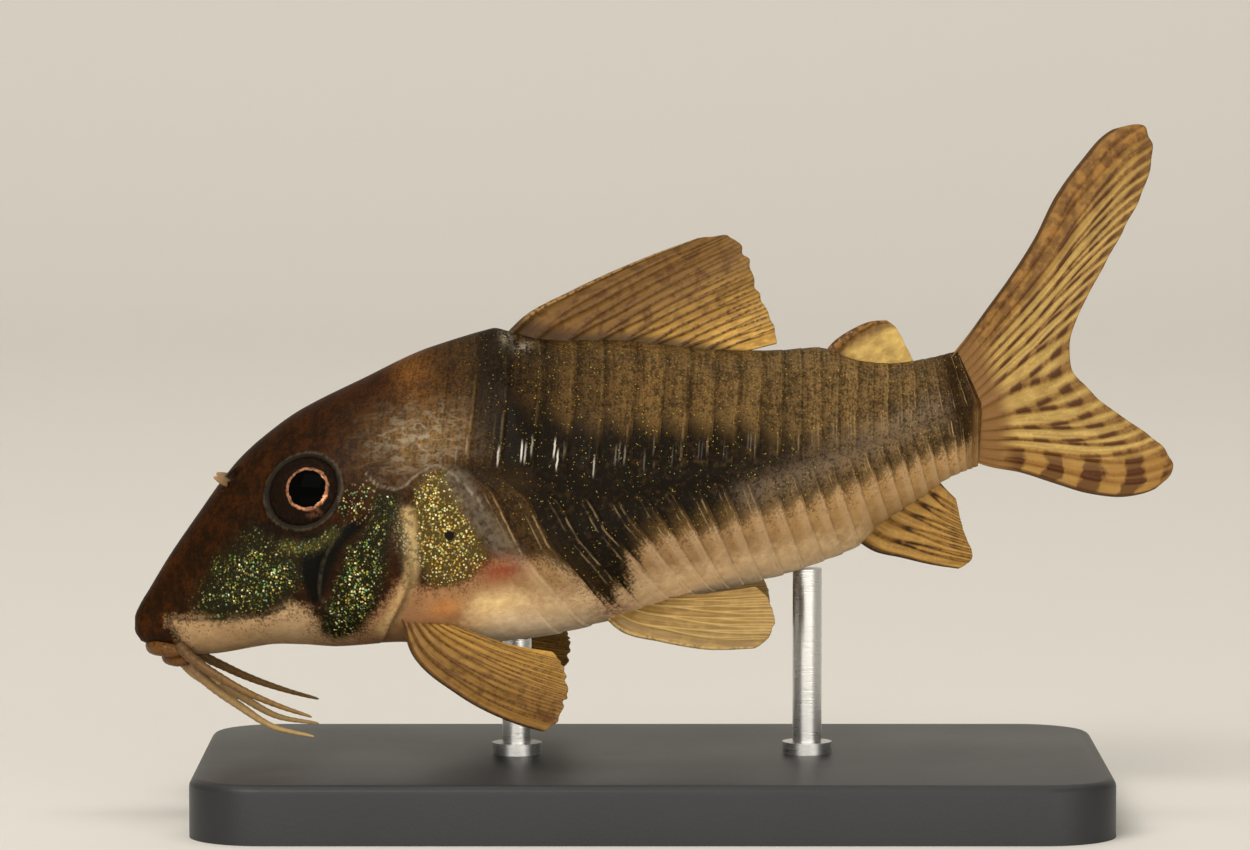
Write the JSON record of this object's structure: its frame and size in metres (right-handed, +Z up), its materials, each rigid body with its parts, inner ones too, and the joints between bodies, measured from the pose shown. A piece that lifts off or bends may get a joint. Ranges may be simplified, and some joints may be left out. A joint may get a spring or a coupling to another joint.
{
  "type": "corydoras catfish display model",
  "caption": "Life-size still model of a long-snouted armoured catfish with raised flank plates, rayed fins and barbels, held over a flat base by two rods.",
  "frame": {"origin": "on the underside of the stand's base, below the middle of the model's length", "axes": "+X towards the fish's tail, +Y towards its right side, +Z up; the fish faces -X"},
  "size_m": [0.071, 0.034, 0.0475],
  "materials": {
    "skin": "wet armoured fish skin: dark brown with metallic green and gold flecks and a pinkish belly",
    "eye": "clear glossy black eye with a thin copper ring round the pupil",
    "barbel": "soft pinkish skin",
    "dorsal_fin": "amber-brown membrane with darker rays",
    "adipose_fin": "amber membrane behind a brown spine",
    "anal_fin": "amber membrane with dark streaks on its rays",
    "caudal_fin": "cream and amber membrane with rows of dark bars on its rays",
    "pectoral_fin": "brown front rays and a clear amber rear",
    "pelvic_fin": "pale yellow-beige membrane",
    "stand_base": "satin black",
    "stand_rod": "brushed steel"
  },
  "bodies": {
    "root": {"head": "skin", "torso": "skin", "tail_stem": "skin", "eye_left": "eye", "eye_right": "eye", "barbel_upper_left": "barbel", "barbel_upper_right": "barbel", "barbel_lower_left": "barbel", "barbel_lower_right": "barbel", "barbel_chin_left": "barbel", "barbel_chin_right": "barbel", "dorsal_fin": "dorsal_fin", "adipose_fin": "adipose_fin", "anal_fin": "anal_fin", "caudal_fin_upper": "caudal_fin", "caudal_fin_lower": "caudal_fin", "pectoral_fin_left": "pectoral_fin", "pectoral_fin_right": "pectoral_fin", "pelvic_fin_left": "pelvic_fin", "pelvic_fin_right": "pelvic_fin", "stand_base": "stand_base", "stand_rod_front": "stand_rod", "stand_rod_rear": "stand_rod"}
  },
  "joints": []
}
